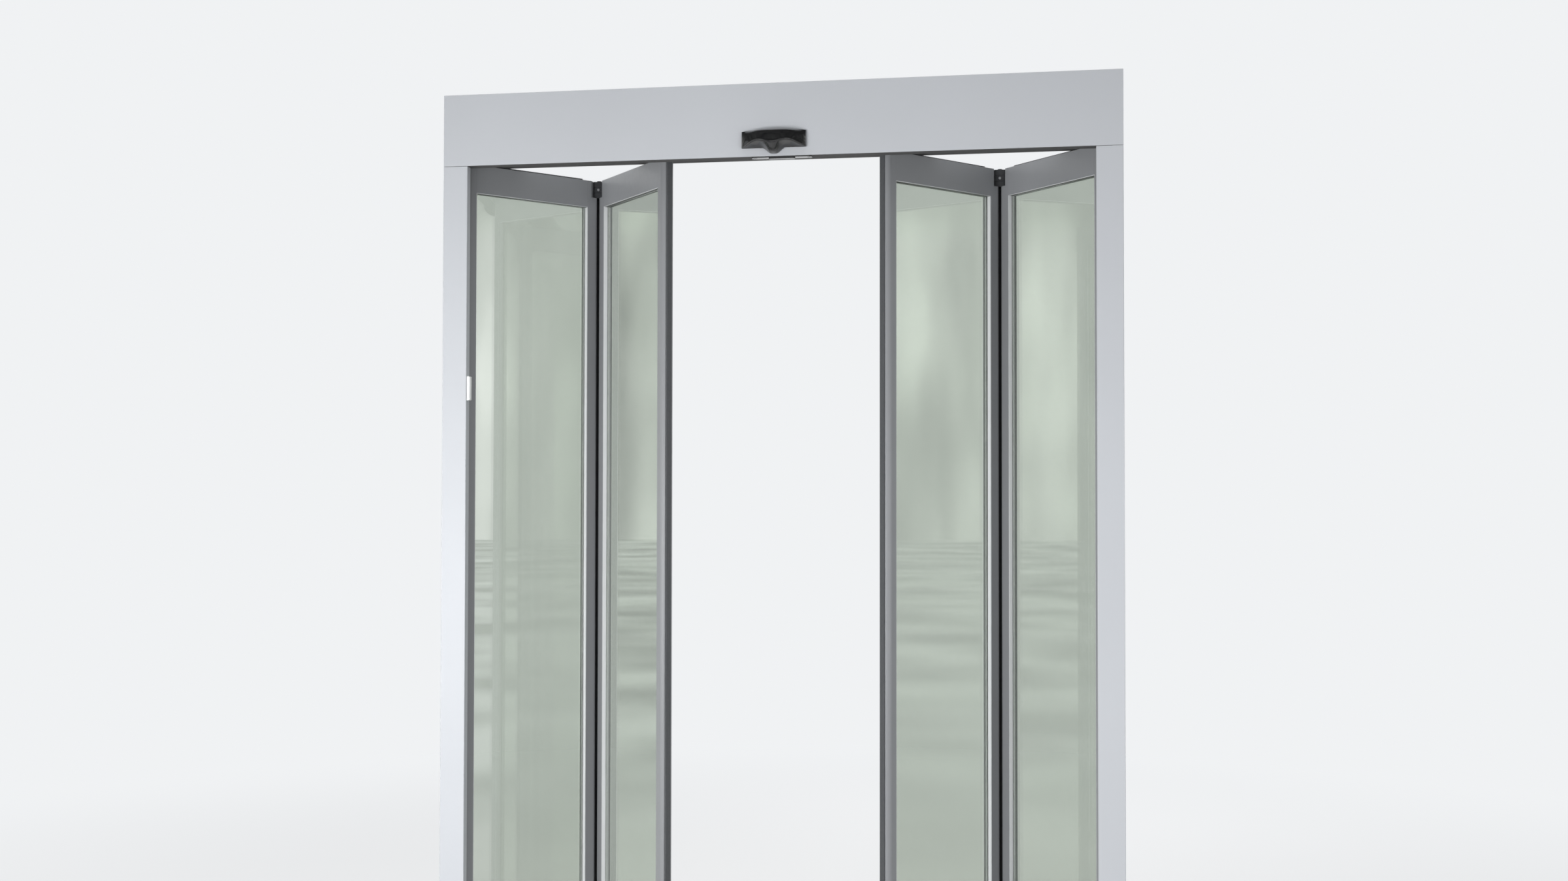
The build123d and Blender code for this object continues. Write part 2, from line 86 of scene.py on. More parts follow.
class Slot(Enum):
    """The record's material slots."""

    FRAME = "frame_paint"
    LEAF = "leaf_paint"
    ALUMINIUM = "mill_aluminium"
    GLASS = "glass"
    RUBBER = "rubber"
    GASKET = "gasket_grey"
    BRUSH = "brush"
    HINGE = "hinge_black"
    STEEL = "bearing_steel"
    SENSOR = "sensor_black"
    SWITCH = "switch_white"


class Bench:
    """A node tree with short calls that place its nodes and join them."""

    def __init__(self, tree: Tree) -> None:
        """Works on the tree of a material, a world or a group."""
        self.tree = tree

    def node(self, kind: str, inputs: dict[str, object] | None = None, **settings: object) -> Node:
        """Places a node.

        Args:
            kind: The node's type.
            inputs: A value, or another node's socket, for each named input.
            **settings: The node's own properties.

        Returns:
            The new node.
        """
        made = self.tree.nodes.new(kind)
        for name, value in settings.items():
            setattr(made, name, value)
        for name, value in (inputs or {}).items():
            self.feed(made.inputs[name], value)
        return made

    def feed(self, socket: Socket, value: object) -> None:
        """Joins a socket to an input, or sets its value.

        Args:
            socket: The input.
            value: Another node's socket, a colour without its alpha, or another plain value.
        """
        if isinstance(value, bpy.types.NodeSocket):
            self.tree.links.new(value, socket)
        elif socket.type == "RGBA":
            socket.default_value = (*value, 1.0)
        else:
            socket.default_value = value

    def maths(self, operation: str, first: object, second: object = 0.0, clamp: bool = False) -> Socket:
        """Places a Math node.

        Args:
            operation: The node's operation.
            first: Its first value or socket.
            second: Its second value or socket.
            clamp: Whether the result is held between 0 and 1.

        Returns:
            The result's socket.
        """
        made = self.node("ShaderNodeMath", operation=operation, use_clamp=clamp)
        self.feed(made.inputs[0], first)
        self.feed(made.inputs[1], second)
        return made.outputs[0]

    def times(self, first: object, second: object) -> Socket:
        """The product of two numbers."""
        return self.maths("MULTIPLY", first, second)

    def plus(self, first: object, second: object, clamp: bool = False) -> Socket:
        """The sum of two numbers."""
        return self.maths("ADD", first, second, clamp)

    def scaled(self, vector: object, factor: object) -> Socket:
        """Multiplies a colour or vector by a number.

        Args:
            vector: The colour or vector, or its socket.
            factor: The number or its socket.

        Returns:
            The result's socket.
        """
        made = self.node("ShaderNodeVectorMath", operation="SCALE")
        self.feed(made.inputs[0], vector)
        self.feed(made.inputs["Scale"], factor)
        return made.outputs[0]

    def remap(self, value: Socket, source: Span, target: Span = UNIT, eased: bool = False) -> Socket:
        """Maps a value from one range to another, and holds it there.

        Args:
            value: The socket to map.
            source: The range that it comes from.
            target: The range that it goes to.
            eased: Whether it sets off and arrives softly.

        Returns:
            The mapped value's socket.
        """
        ends = {"From Min": source[0], "From Max": source[1], "To Min": target[0], "To Max": target[1]}
        style = "SMOOTHSTEP" if eased else "LINEAR"
        made = self.node("ShaderNodeMapRange", {"Value": value, **ends}, interpolation_type=style)
        return made.outputs["Result"]

    def blend(self, factor: object, first: object, second: object) -> Socket:
        """Mixes two colours.

        Args:
            factor: The second colour's share.
            first: The first colour or socket.
            second: The second colour or socket.

        Returns:
            The mixed colour's socket.
        """
        made = self.node("ShaderNodeMix", data_type="RGBA")
        for index, value in ((0, factor), (6, first), (7, second)):
            self.feed(made.inputs[index], value)
        return made.outputs[2]

    def noise(self, vector: Socket, scale: object, detail: float = 3.0, roughness: float = 0.5) -> Socket:
        """Places a noise texture.

        Args:
            vector: Its coordinates.
            scale: Its scale, in cells a metre.
            detail: Its octaves.
            roughness: How much the finer octaves count.

        Returns:
            The noise value's socket.
        """
        inputs = {"Vector": vector, "Scale": scale, "Detail": detail, "Roughness": roughness}
        return self.node("ShaderNodeTexNoise", inputs).outputs[0]

    def stretched(self, vector: Socket, stretch: Triple, turn: Triple = (0.0, 0.0, 0.0)) -> Socket:
        """Turns and stretches coordinates.

        Args:
            vector: The coordinates.
            stretch: The scale along each axis.
            turn: The turn about each axis, in radians.

        Returns:
            The new coordinates' socket.
        """
        inputs = {"Vector": vector, "Rotation": turn, "Scale": stretch}
        return self.node("ShaderNodeMapping", inputs).outputs[0]

    def upward(self, vector: Socket) -> Socket:
        """The upward part of a vector."""
        return self.node("ShaderNodeSeparateXYZ", {"Vector": vector}).outputs["Z"]

    def facing(self, normal: str = "Normal") -> Socket:
        """How far the surface faces up, from -1 to 1."""
        return self.upward(self.node("ShaderNodeNewGeometry").outputs[normal])


@dataclass
class Effects:
    """The shader node groups that the finishes share."""

    coarse_ratio: float = 0.12
    fine_share: float = 0.6
    coarse_patches: Span = (0.35, 0.65)
    upward_faces: Span = (0.5, 0.95)
    dusty_foot: Span = (0.45, 0.0)
    foot_dust: Span = (0.0, 0.55)
    dust_scale: float = 38.0
    dust_patches: Span = (0.38, 0.72)
    dust_cover: Span = (0.25, 1.0)
    smear_turn: Triple = (0.4, 0.3, 0.5)
    smear_stretch: Triple = (1.0, 1.0, 0.35)
    smear_patches: Span = (0.48, 0.74)

    def __post_init__(self) -> None:
        """Builds each group once."""
        self.drift = self._drift()
        self.relief = self._relief()
        self.lines = self._lines()
        self.dust = self._dust()
        self.smudges = self._smudges()

    @staticmethod
    def _open(name: str, inputs: dict[str, str], outputs: dict[str, str]) -> tuple[Bench, Sockets, Node]:
        """Starts a group.

        Args:
            name: The group's name.
            inputs: What each input holds (Float, Vector or Color), by name.
            outputs: What each output holds, by name.

        Returns:
            The group's bench, what its inputs give, and its output node.
        """
        tree = bpy.data.node_groups.new(name, "ShaderNodeTree")
        for direction, sockets in (("INPUT", inputs), ("OUTPUT", outputs)):
            for label, kind in sockets.items():
                tree.interface.new_socket(name=label, in_out=direction, socket_type=f"NodeSocket{kind}")
        bench = Bench(tree)
        return bench, bench.node("NodeGroupInput").outputs, bench.node("NodeGroupOutput")

    def _drift(self) -> Tree:
        """A colour that drifts slightly in tone over a large surface.

        Returns:
            The group's tree.
        """
        kinds = {"Vector": "Vector", "Color": "Color", "Scale": "Float", "Spread": "Float"}
        bench, given, out = self._open("tone_drift", kinds, {"Color": "Color"})
        cloud = bench.noise(given["Vector"], given["Scale"], detail=2.0)
        swing = bench.times(bench.maths("SUBTRACT", cloud, 0.5), given["Spread"])
        bench.feed(out.inputs["Color"], bench.scaled(given["Color"], bench.plus(swing, 1.0)))
        return bench.tree

    def _relief(self) -> Tree:
        """The fine relief of a sprayed, cast or moulded surface.

        Returns:
            The group's tree.
        """
        kinds = {"Vector": "Vector", "Scale": "Float"}
        bench, given, out = self._open("fine_relief", kinds, {"Height": "Float", "Mask": "Float"})
        fine = bench.noise(given["Vector"], given["Scale"], detail=2.0)
        coarse_scale = bench.times(given["Scale"], self.coarse_ratio)
        coarse = bench.noise(given["Vector"], coarse_scale, detail=2.0)
        height = bench.plus(bench.times(fine, self.fine_share), bench.times(coarse, 1.0 - self.fine_share))
        bench.feed(out.inputs["Height"], height)
        bench.feed(out.inputs["Mask"], bench.remap(coarse, self.coarse_patches))
        return bench.tree

    def _lines(self) -> Tree:
        """Fine parallel lines, as drawing, extruding or turning leaves them.

        Returns:
            The group's tree.
        """
        kinds = {"Vector": "Vector", "Stretch": "Vector", "Scale": "Float"}
        bench, given, out = self._open("drawn_lines", kinds, {"Height": "Float"})
        stretched = bench.node("ShaderNodeVectorMath", operation="MULTIPLY")
        bench.feed(stretched.inputs[0], given["Vector"])
        bench.feed(stretched.inputs[1], given["Stretch"])
        lines = bench.noise(stretched.outputs[0], given["Scale"], detail=4.0, roughness=0.65)
        bench.feed(out.inputs["Height"], lines)
        return bench.tree

    def _dust(self) -> Tree:
        """Dust that lies on upward faces and gathers near the floor.

        Returns:
            The group's tree.
        """
        kinds = {"Vector": "Vector", "Amount": "Float"}
        bench, given, out = self._open("settled_dust", kinds, {"Mask": "Float"})
        upward = bench.remap(bench.facing(), self.upward_faces)
        low = bench.remap(bench.upward(given["Vector"]), self.dusty_foot, self.foot_dust)
        cloud = bench.noise(given["Vector"], self.dust_scale, detail=6.0, roughness=0.62)
        patches = bench.remap(cloud, self.dust_patches, self.dust_cover)
        both = bench.times(bench.maths("MAXIMUM", upward, low), patches)
        bench.feed(out.inputs["Mask"], bench.maths("MULTIPLY", both, given["Amount"], clamp=True))
        return bench.tree

    def _smudges(self) -> Tree:
        """Faint wiped smears and touch marks on a polished surface.

        Returns:
            The group's tree.
        """
        kinds = {"Vector": "Vector", "Scale": "Float"}
        bench, given, out = self._open("wiped_smudges", kinds, {"Mask": "Float"})
        slant = bench.stretched(given["Vector"], self.smear_stretch, self.smear_turn)
        smear = bench.noise(slant, given["Scale"], detail=5.0, roughness=0.6)
        bench.feed(out.inputs["Mask"], bench.remap(smear, self.smear_patches))
        return bench.tree


@dataclass(frozen=True)
class Relief:
    """A fine relief: its scale in cells a metre, its depth in metres and its bump's strength."""

    scale: float
    depth: float
    strength: float


class Canvas(Bench):
    """A material's node tree, with its shader, its coordinates and the shared effects."""

    def __init__(self, material: bpy.types.Material, effects: Effects) -> None:
        """Starts from a new material's own shader.

        Args:
            material: The material.
            effects: The shared node groups.
        """
        super().__init__(material.node_tree)
        self.effects = effects
        self.shader = material.node_tree.nodes["Principled BSDF"]
        self.place = self.node("ShaderNodeTexCoord").outputs["Object"]

    def give(self, inputs: dict[str, object]) -> None:
        """Feeds the shader's inputs, by name."""
        for name, value in inputs.items():
            self.feed(self.shader.inputs[name], value)

    def effect(self, group: Tree, **inputs: object) -> Sockets:
        """Places a shared effect at the surface's own coordinates.

        Args:
            group: The effect's tree.
            **inputs: A value or socket for each of its other inputs.

        Returns:
            The effect's outputs.
        """
        return self.node("ShaderNodeGroup", {"Vector": self.place, **inputs}, node_tree=group).outputs

    def bump(self, height: Socket, relief: Relief) -> None:
        """Feeds a height to the shader's normal."""
        inputs = {"Strength": relief.strength, "Distance": relief.depth, "Height": height}
        self.give({"Normal": self.node("ShaderNodeBump", inputs).outputs["Normal"]})


@dataclass(frozen=True)
class Finish:
    """What every finish has: a name, a colour and a gloss."""

    name: str
    colour: Colour
    roughness: float

    def build(self, effects: Effects) -> bpy.types.Material:
        """Builds the material.

        Args:
            effects: The shared node groups.

        Returns:
            The finished material.
        """
        material = bpy.data.materials.new(self.name)
        material.use_nodes = True
        material.diffuse_color = (*self.colour, 1.0)
        canvas = Canvas(material, effects)
        canvas.give({"Base Color": self.colour, "Roughness": self.roughness})
        self.mix(canvas)
        return material

    def mix(self, canvas: Canvas) -> None:
        """Mixes the finish on a material's canvas."""
        raise NotImplementedError

    def drifting(self, canvas: Canvas, scale: float, spread: float) -> Socket:
        """The finish's colour, which drifts in tone over the surface.

        Args:
            canvas: The material's canvas.
            scale: The drift's scale, in cells a metre.
            spread: How far the tone drifts.

        Returns:
            The colour's socket.
        """
        drift = canvas.effect(canvas.effects.drift, Color=self.colour, Scale=scale, Spread=spread)
        return drift["Color"]

    def uneven(self, canvas: Canvas, mask: Socket, drift: Span, source: Span = UNIT) -> Socket:
        """The finish's roughness, which drifts with a mask.

        Args:
            canvas: The material's canvas.
            mask: The mask's socket.
            drift: What the roughness gains where the mask is low, and where it is high.
            source: The mask's own range.

        Returns:
            The roughness's socket.
        """
        return canvas.remap(mask, source, (self.roughness + drift[0], self.roughness + drift[1]))


@dataclass(frozen=True)
class PowderCoat(Finish):
    """Satin powder coat: a faint orange peel, tone that drifts, a little dust, painted shade on
    undersides.
    """

    drift: float = 0.10
    drift_scale: float = 1.7
    peel: Relief = Relief(620.0, 0.12 * MM, 0.35)
    gloss_drift: Span = (-0.04, 0.05)
    dust: float = 0.30
    dust_colour: Colour = (0.52, 0.50, 0.46)
    dust_dulling: float = 0.35
    painted_shade: float = 0.0
    painted_shade_colour: Colour = (0.060, 0.058, 0.055)
    underside_dulling: float = 0.5
    undersides: Span = (-0.6, -0.9)

    def mix(self, canvas: Canvas) -> None:
        """Mixes the coat: peel and dust above, painted shade on the undersides.

        Args:
            canvas: The material's canvas.
        """
        # Painted shade: faces that look down blend toward painted_shade_colour, and their gloss is dulled.
        under = canvas.remap(canvas.facing(), self.undersides, (0.0, self.painted_shade))
        tone = self.drifting(canvas, self.drift_scale, self.drift)
        shaded_tone = canvas.blend(under, tone, self.painted_shade_colour)
        peel = canvas.effect(canvas.effects.relief, Scale=self.peel.scale)
        dust = canvas.effect(canvas.effects.dust, Amount=self.dust)["Mask"]
        sheen = self.uneven(canvas, peel["Mask"], self.gloss_drift)
        dull = canvas.plus(sheen, canvas.times(dust, self.dust_dulling))
        duller = canvas.plus(dull, canvas.times(under, self.underside_dulling), clamp=True)
        canvas.give({"Base Color": canvas.blend(dust, shaded_tone, self.dust_colour), "Roughness": duller})
        canvas.bump(peel["Height"], self.peel)


@dataclass(frozen=True)
class DrawnMetal(Finish):
    """Bare metal with the fine lines of its drawing or turning."""

    stretch: Triple = (0.02, 1.0, 1.0)
    lines: Relief = Relief(900.0, 0.05 * MM, 0.5)
    line_contrast: Span = (0.3, 0.7)
    gloss_drift: Span = (-0.08, 0.10)
    drift: float = 0.16
    drift_scale: float = 9.0
    dust: float = 0.35

    def mix(self, canvas: Canvas) -> None:
        """Mixes the metal: lines, a drifting tone and dust.

        Args:
            canvas: The material's canvas.
        """
        drawn = canvas.effect(canvas.effects.lines, Stretch=self.stretch, Scale=self.lines.scale)
        tone = self.drifting(canvas, self.drift_scale, self.drift)
        dust = canvas.effect(canvas.effects.dust, Amount=self.dust)["Mask"]
        canvas.give({
            "Metallic": 1.0,
            "Base Color": canvas.blend(dust, tone, SETTLED_DUST),
            "Roughness": self.uneven(canvas, drawn["Height"], self.gloss_drift, self.line_contrast),
        })
        canvas.bump(drawn["Height"], self.lines)


@dataclass(frozen=True)
class ClearGlass(Finish):
    """Laminated float glass with a pale green body, a mirroring coat and faint smears."""

    index: float = 1.52
    coat: float = 1.0
    coat_index: float = 1.75
    shadow_pass: float = 0.88
    smear_scale: float = 5.5
    smear_dulling: float = 0.035
    wave: Relief = Relief(7.0, 0.4 * MM, 0.10)

    def mix(self, canvas: Canvas) -> None:
        """Mixes the glass, and lets most of the light through to its shadow.

        Args:
            canvas: The material's canvas.
        """
        smears = canvas.effect(canvas.effects.smudges, Scale=self.smear_scale)["Mask"]
        shadow = canvas.node("ShaderNodeLightPath").outputs["Is Shadow Ray"]
        canvas.give({
            "Transmission Weight": 1.0,
            "IOR": self.index,
            "Coat Weight": self.coat,
            "Coat IOR": self.coat_index,
            "Coat Roughness": self.roughness,
            "Roughness": self.uneven(canvas, smears, (0.0, self.smear_dulling)),
            "Alpha": canvas.maths("SUBTRACT", 1.0, canvas.times(shadow, self.shadow_pass)),
        })
        canvas.bump(canvas.noise(canvas.place, self.wave.scale, detail=1.0), self.wave)


@dataclass(frozen=True)
class Elastomer(Finish):
    """Matt sealing rubber with extrusion lines and pale dust."""

    stretch: Triple = (1.0, 1.0, 0.015)
    line_scale: float = 700.0
    line_share: float = 0.7
    grain: Relief = Relief(1400.0, 0.15 * MM, 0.5)
    gloss_drift: Span = (-0.06, 0.08)
    worn: Colour = (0.11, 0.113, 0.118)
    worn_lines: Span = (0.4, 0.7)
    wear: Span = (0.0, 0.35)
    dust: float = 0.4
    level_shade: float = 1.0
    level_limit: float = 0.5

    def mix(self, canvas: Canvas) -> None:
        """Mixes the rubber, with painted shade on its level faces, as dark as level_shade says.

        Args:
            canvas: The material's canvas.
        """
        lines = canvas.effect(canvas.effects.lines, Stretch=self.stretch, Scale=self.line_scale)["Height"]
        grain = canvas.effect(canvas.effects.relief, Scale=self.grain.scale)
        dust = canvas.effect(canvas.effects.dust, Amount=self.dust)["Mask"]
        bloom = canvas.blend(canvas.remap(lines, self.worn_lines, self.wear), self.colour, self.worn)
        # Painted shade: faces that look up or down are darkened by level_shade.
        tilt = canvas.maths("ABSOLUTE", canvas.facing("True Normal"))
        level = canvas.maths("GREATER_THAN", tilt, self.level_limit)
        shade = canvas.maths("SUBTRACT", 1.0, canvas.times(level, 1.0 - self.level_shade))
        canvas.give({
            "Base Color": canvas.scaled(canvas.blend(dust, bloom, SETTLED_DUST), shade),
            "Roughness": self.uneven(canvas, grain["Mask"], self.gloss_drift),
        })
        grainy = canvas.times(grain["Height"], 1.0 - self.line_share)
        canvas.bump(canvas.plus(canvas.times(lines, self.line_share), grainy), self.grain)


@dataclass(frozen=True)
class BristlePile(Finish):
    """Dense black bristles that stand upright in their strip."""

    stretch: Triple = (1.0, 1.0, 0.05)
    fibre: Relief = Relief(1500.0, 0.4 * MM, 0.8)
    fibre_contrast: Span = (0.35, 0.7)
    light_fibre: Colour = (0.06, 0.06, 0.062)

    def mix(self, canvas: Canvas) -> None:
        """Mixes the pile: dark fibres between lighter ones.

        Args:
            canvas: The material's canvas.
        """
        drawn = canvas.effect(canvas.effects.lines, Stretch=self.stretch, Scale=self.fibre.scale)
        share = canvas.remap(drawn["Height"], self.fibre_contrast)
        canvas.give({"Base Color": canvas.blend(share, self.colour, self.light_fibre)})
        canvas.bump(drawn["Height"], self.fibre)


@dataclass(frozen=True)
class CastBlack(Finish):
    """Black coated castings with a fine grain and rubbed high spots."""

    grain: Relief = Relief(1600.0, 0.1 * MM, 0.5)
    gloss_drift: Span = (-0.05, 0.08)
    rub_scale: float = 60.0
    rub: Span = (0.0, 0.4)
    rubbed: Colour = (0.085, 0.087, 0.09)

    def mix(self, canvas: Canvas) -> None:
        """Mixes the coating: its grain, and where hands have rubbed it.

        Args:
            canvas: The material's canvas.
        """
        grain = canvas.effect(canvas.effects.relief, Scale=self.grain.scale)
        rubs = canvas.effect(canvas.effects.smudges, Scale=self.rub_scale)["Mask"]
        canvas.give({
            "Base Color": canvas.blend(canvas.remap(rubs, UNIT, self.rub), self.colour, self.rubbed),
            "Roughness": self.uneven(canvas, grain["Mask"], self.gloss_drift),
        })
        canvas.bump(grain["Height"], self.grain)


@dataclass(frozen=True)
class MouldedPlastic(Finish):
    """Moulded plastic, from high gloss to satin, with a hint of handling."""

    coat: float = 0.0
    coat_roughness: float = 0.04
    drift: float = 0.12
    drift_scale: float = 24.0
    smear: float = 0.12
    smear_scale: float = 45.0
    grain: Relief = Relief(1100.0, 0.04 * MM, 0.3)

    def mix(self, canvas: Canvas) -> None:
        """Mixes the plastic: a coat of gloss, smears and a trace of grain.

        Args:
            canvas: The material's canvas.
        """
        smears = canvas.effect(canvas.effects.smudges, Scale=self.smear_scale)["Mask"]
        canvas.give({
            "Coat Weight": self.coat,
            "Coat Roughness": self.coat_roughness,
            "Base Color": self.drifting(canvas, self.drift_scale, self.drift),
            "Roughness": self.uneven(canvas, smears, (0.0, self.smear)),
        })
        canvas.bump(canvas.effect(canvas.effects.relief, Scale=self.grain.scale)["Height"], self.grain)


TURNED = {"stretch": (1.0, 1.0, 0.08), "lines": Relief(1200.0, 0.05 * MM, 0.5), "dust": 0.1}
FINISHES: dict[Slot, Finish] = {
    # The frame coat carries painted shade on its down-facing faces.
    Slot.FRAME: PowderCoat("frame_coat", (0.48, 0.497, 0.525), 0.42, painted_shade=0.90),
    Slot.LEAF: PowderCoat("leaf_coat", (0.242, 0.249, 0.260), 0.33, drift=0.12),
    Slot.ALUMINIUM: DrawnMetal("drawn_aluminium", (0.62, 0.63, 0.64), 0.36),
    Slot.GLASS: ClearGlass("clear_glass", (0.55, 0.60, 0.53), 0.004),
    Slot.RUBBER: Elastomer("seal_rubber", (0.062, 0.065, 0.069), 0.60),
    # The pale gasket gets painted shade on its level faces, along the rails.
    Slot.GASKET: Elastomer(
        "pale_gasket", (0.74, 0.76, 0.77), 0.42, worn=(0.84, 0.85, 0.86), level_shade=0.14
    ),
    Slot.BRUSH: BristlePile("brush_bristle", (0.014, 0.014, 0.015), 0.85),
    Slot.HINGE: CastBlack("cast_black", (0.022, 0.023, 0.025), 0.40),
    Slot.STEEL: DrawnMetal("turned_steel", (0.56, 0.56, 0.57), 0.28, **TURNED),
    Slot.SENSOR: MouldedPlastic("gloss_black", (0.006, 0.006, 0.007), 0.10, coat=0.7, smear=0.05),
    Slot.SWITCH: MouldedPlastic("satin_white", (0.82, 0.83, 0.83), 0.30),
}


@dataclass
class Wardrobe:
    """Builds the finishes and dresses the pieces in them."""

    merge_distance: float = 0.01 * MM
    flat_angle: float = math.radians(0.3)
    edge_angle: float = math.radians(22.0)
    smooth_angle: float = math.radians(35.0)

    def __post_init__(self) -> None:
        """Builds the effects and every finish."""
        effects = Effects()
        self.materials = {slot: finish.build(effects) for slot, finish in FINISHES.items()}

    def dress(self, piece: bpy.types.Object, slot: Slot) -> None:
        """Gives a whole piece one finish.

        Args:
            piece: The piece, a CAD node or a new one.
            slot: The finish's slot.
        """
        piece.data.materials.clear()
        piece.data.materials.append(self.materials[slot])
        LOG.info("dressed %s in %s", piece.name, slot.value)

    def dress_node(self, node: str, slot: Slot) -> None:
        """Gives a CAD node its finish."""
        self.dress(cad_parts[node], slot)

    def ease_edges(self, node: str, width: float) -> None:
        """Rounds a CAD node's sharp edges slightly, as bending and sawing leave them.

        Args:
            node: The node's name.
            width: How far the rounding reaches from each edge.
        """
        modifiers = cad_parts[node].modifiers
        modifiers.new("joined_corners", "WELD").merge_threshold = self.merge_distance
        flat = modifiers.new("flat_faces", "DECIMATE")
        flat.decimate_type = "DISSOLVE"
        flat.angle_limit = self.flat_angle
        eased = modifiers.new("eased_edges", "BEVEL")
        eased.width = width
        eased.segments = 2
        eased.profile = 0.5
        eased.material = -1
        eased.limit_method = "ANGLE"
        eased.angle_limit = self.edge_angle

    def add(self, name: str, mesh: Mesh, slot: Slot, smooth: bool = True) -> bpy.types.Object:
        """Turns a bmesh into a finished piece on the door's body.

        Args:
            name: The piece's name.
            mesh: Its bmesh, in place, in metres. It is freed.
            slot: Its finish.
            smooth: Whether its gently bent faces are shaded smooth.

        Returns:
            The new piece.
        """
        bmesh.ops.recalc_face_normals(mesh, faces=mesh.faces)
        data = bpy.data.meshes.new(name)
        mesh.to_mesh(data)
        mesh.free()
        piece = bpy.data.objects.new(name, data)
        bpy.context.scene.collection.objects.link(piece)
        if smooth:
            data.polygons.foreach_set("use_smooth", [True] * len(data.polygons))
            data.set_sharp_from_angle(angle=self.smooth_angle)
        self.dress(piece, slot)
        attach(piece, "root")
        return piece


@dataclass(frozen=True)
class DomedScrew:
    """A domed screw head with a shallow drive recess."""

    radius: float = 4.2 * MM
    height: float = 1.9 * MM
    sunk: float = 0.4 * MM
    taper: float = 0.82
    facets: int = 24
    dome: float = 0.3
    rim: float = 0.30
    recess: float = 0.55
    recess_wall: float = 0.05 * MM

    def place(self, mesh: Mesh, seat: Vector, outward: Vector) -> None:
        """Adds a head to a mesh.

        Args:
            mesh: The mesh that takes the head.
            seat: The middle of the head's seat.
            outward: The direction that the head faces.
        """
        turn = outward.to_track_quat("Z", "Y").to_matrix().to_4x4()
        middle = Matrix.Translation(seat + outward * (self.height / 2 - self.sunk)) @ turn
        made = bmesh.ops.create_cone(
            mesh,
            cap_ends=True,
            segments=self.facets,
            radius1=self.radius,
            radius2=self.radius * self.taper,
            depth=self.height,
            matrix=middle,
        )
        top = self._top({face for vert in made["verts"] for face in vert.link_faces}, seat, outward)
        bmesh.ops.bevel(
            mesh,
            geom=list(top.edges),
            offset=self.height * self.dome,
            segments=3,
            profile=0.5,
            affect="EDGES",
            material=-1,
        )
        near = (face for face in mesh.faces if (face.calc_center_median() - seat).length < self.radius)
        top = self._top(near, seat, outward)
        bmesh.ops.inset_region(mesh, faces=[top], thickness=self.radius * self.rim, depth=0.0)
        depth = -self.height * self.recess
        bmesh.ops.inset_region(mesh, faces=[top], thickness=self.recess_wall, depth=depth)

    @staticmethod
    def _top(faces: object, seat: Vector, outward: Vector) -> bmesh.types.BMFace:
        """The face that stands furthest out from a head's seat."""
        return max(faces, key=lambda face: (face.calc_center_median() - seat).dot(outward))


@dataclass
class Assembly:
    """A sub-assembly of the door, with the wardrobe that dresses it."""

    wardrobe: Wardrobe


@dataclass
class Covers(Assembly):
    """The frame's painted covers, posts and header box."""

    painted: tuple[str, ...] = (
        "header_cover",
        "left_jamb_cover",
        "right_jamb_cover",
        "header_beam",
        "header_end_caps",
        "left_jamb_post",
        "right_jamb_post",
    )
    bend_radius: float = 0.8 * MM
    fixing_edge: float = 14.0 * MM
    fixing_levels: tuple[float, ...] = (0.25, 0.90, 1.55, 2.20)
    fixing_screw: DomedScrew = DomedScrew(radius=7.0 * MM, height=3.0 * MM)
    cap_inset: float = 12.0 * MM
    cap_screw: DomedScrew = DomedScrew()

    def build(self) -> None:
        """Dresses the frame and adds its screws."""
        for node in self.painted:
            self.wardrobe.dress_node(node, Slot.FRAME)
            self.wardrobe.ease_edges(node, self.bend_radius)
        self.wardrobe.add("post_screws", self._post_screws(), Slot.STEEL)
        self.wardrobe.add("end_cap_screws", self._end_cap_screws(), Slot.STEEL)

    def _post_screws(self) -> Mesh:
        """The heads in the posts' fixing holes, on the passage side.

        Returns:
            Their bmesh.
        """
        mesh = bmesh.new()
        for node, outward in (("left_jamb_post", 1.0), ("right_jamb_post", -1.0)):
            low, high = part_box(node)
            face = high.x if outward > 0 else low.x
            for level in self.fixing_levels:
                seat = Vector((face, high.y - self.fixing_edge, level))
                self.fixing_screw.place(mesh, seat, Vector((outward, 0, 0)))
        return mesh

    def _end_cap_screws(self) -> Mesh:
        """Four heads on each end cap of the header.

        Returns:
            Their bmesh.
        """
        mesh = bmesh.new()
        low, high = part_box("header_end_caps")
        for face, outward in ((low.x, -1.0), (high.x, 1.0)):
            for y in (low.y + self.cap_inset, high.y - self.cap_inset):
                for z in (low.z + self.cap_inset, high.z - self.cap_inset):
                    self.cap_screw.place(mesh, Vector((face, y, z)), Vector((outward, 0, 0)))
        return mesh


@dataclass
class HeaderWorks(Assembly):
    """Track, rollers and bearings."""

    track: str = "guide_track"
    steel: tuple[str, ...] = ("top_bearings", "floor_bearings", "guide_rollers")
    plate_length: float = 40.0 * MM
    plate_height: float = 6.0 * MM
    screw_reach: float = 14.5 * MM
    screw: DomedScrew = DomedScrew(radius=3.6 * MM, height=1.2 * MM)

    def build(self) -> None:
        """Dresses the running gear and screws the floor bearings down."""
        self.wardrobe.dress_node(self.track, Slot.ALUMINIUM)
        for node in self.steel:
            self.wardrobe.dress_node(node, Slot.STEEL)
        mesh = bmesh.new()
        low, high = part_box("floor_bearings")
        for pivot in (low.x + self.plate_length / 2, high.x - self.plate_length / 2):
            for reach in (-self.screw_reach, self.screw_reach):
                seat = Vector((pivot + reach, (low.y + high.y) / 2, self.plate_height))
                self.screw.place(mesh, seat, Vector((0, 0, 1)))
        self.wardrobe.add("floor_bearing_screws", mesh, Slot.STEEL)


